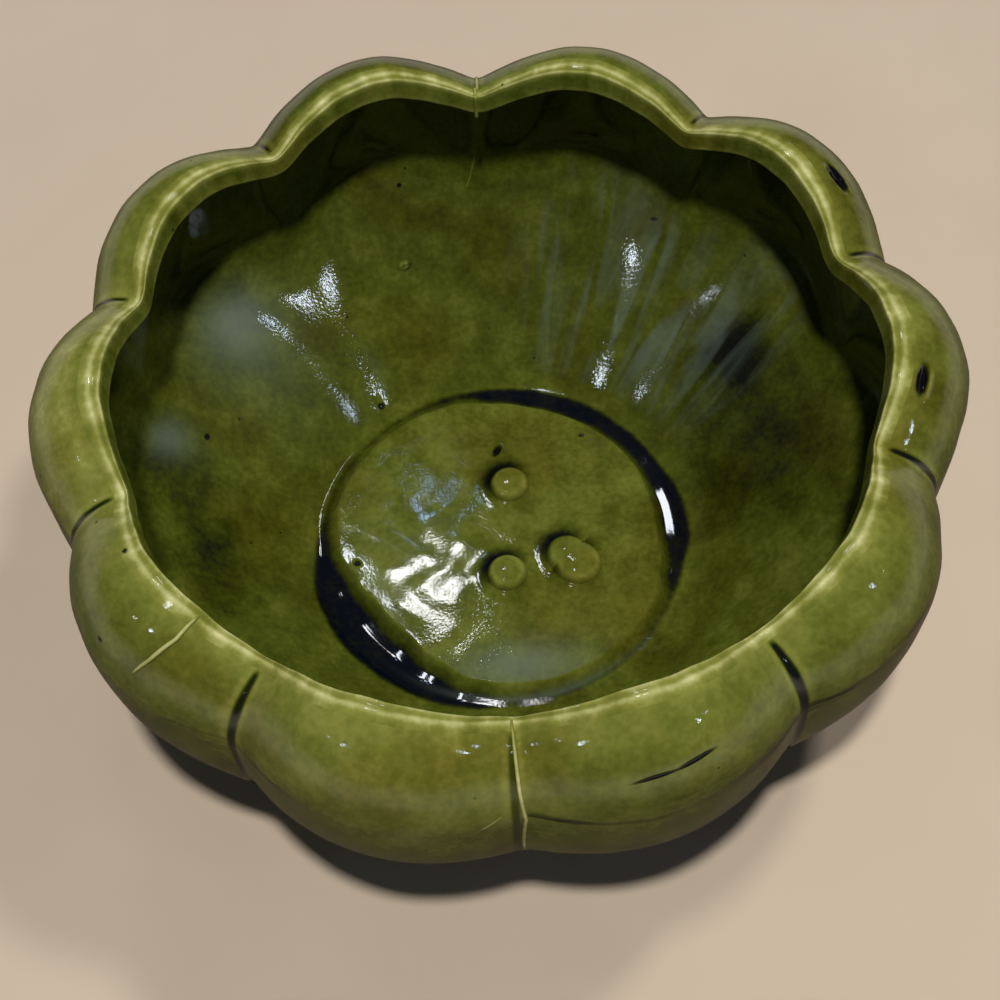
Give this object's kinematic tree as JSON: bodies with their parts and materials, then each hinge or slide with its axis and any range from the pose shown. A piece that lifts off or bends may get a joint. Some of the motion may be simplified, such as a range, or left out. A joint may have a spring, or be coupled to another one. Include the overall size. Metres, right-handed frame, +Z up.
{
  "type": "lobed ceramic planter bowl",
  "caption": "Low round planter bowl of cast earthenware with a lobed, in-curving wall, scalloped lip, flat floor with a gutter, a foot ring and a flowing olive green glaze.",
  "frame": {"origin": "on the table under the centre of the bowl, in the plane of the foot ring's lower face", "axes": "+Z up along the bowl's axis, -Y through the front groove, which carries a mould seam; +X to the right"},
  "size_m": [0.2128, 0.2062, 0.0908],
  "materials": {
    "clay": "unglazed buff earthenware",
    "outside_glaze": "glossy olive green glaze",
    "lip_glaze": "glossy glaze broken thin and pale on the edges",
    "inside_glaze": "glossy deep olive green glaze",
    "floor_glaze": "glossy olive green glaze",
    "gutter_glaze": "glossy blue-black pooled glaze",
    "boss_glaze": "glossy olive green glaze, pale on the edges",
    "seam_glaze": "glossy thin pale glaze"
  },
  "bodies": {
    "root": {"clay_wall": "clay", "clay_floor": "clay", "foot_ring": "clay", "outside_glaze": "outside_glaze", "lip_glaze": "lip_glaze", "inside_glaze": "inside_glaze", "floor_glaze": "floor_glaze", "gutter_glaze": "gutter_glaze", "back_boss": "boss_glaze", "front_boss": "boss_glaze", "double_boss": "boss_glaze", "front_seam": "seam_glaze", "back_seam": "seam_glaze", "left_seam": "seam_glaze"}
  },
  "joints": []
}
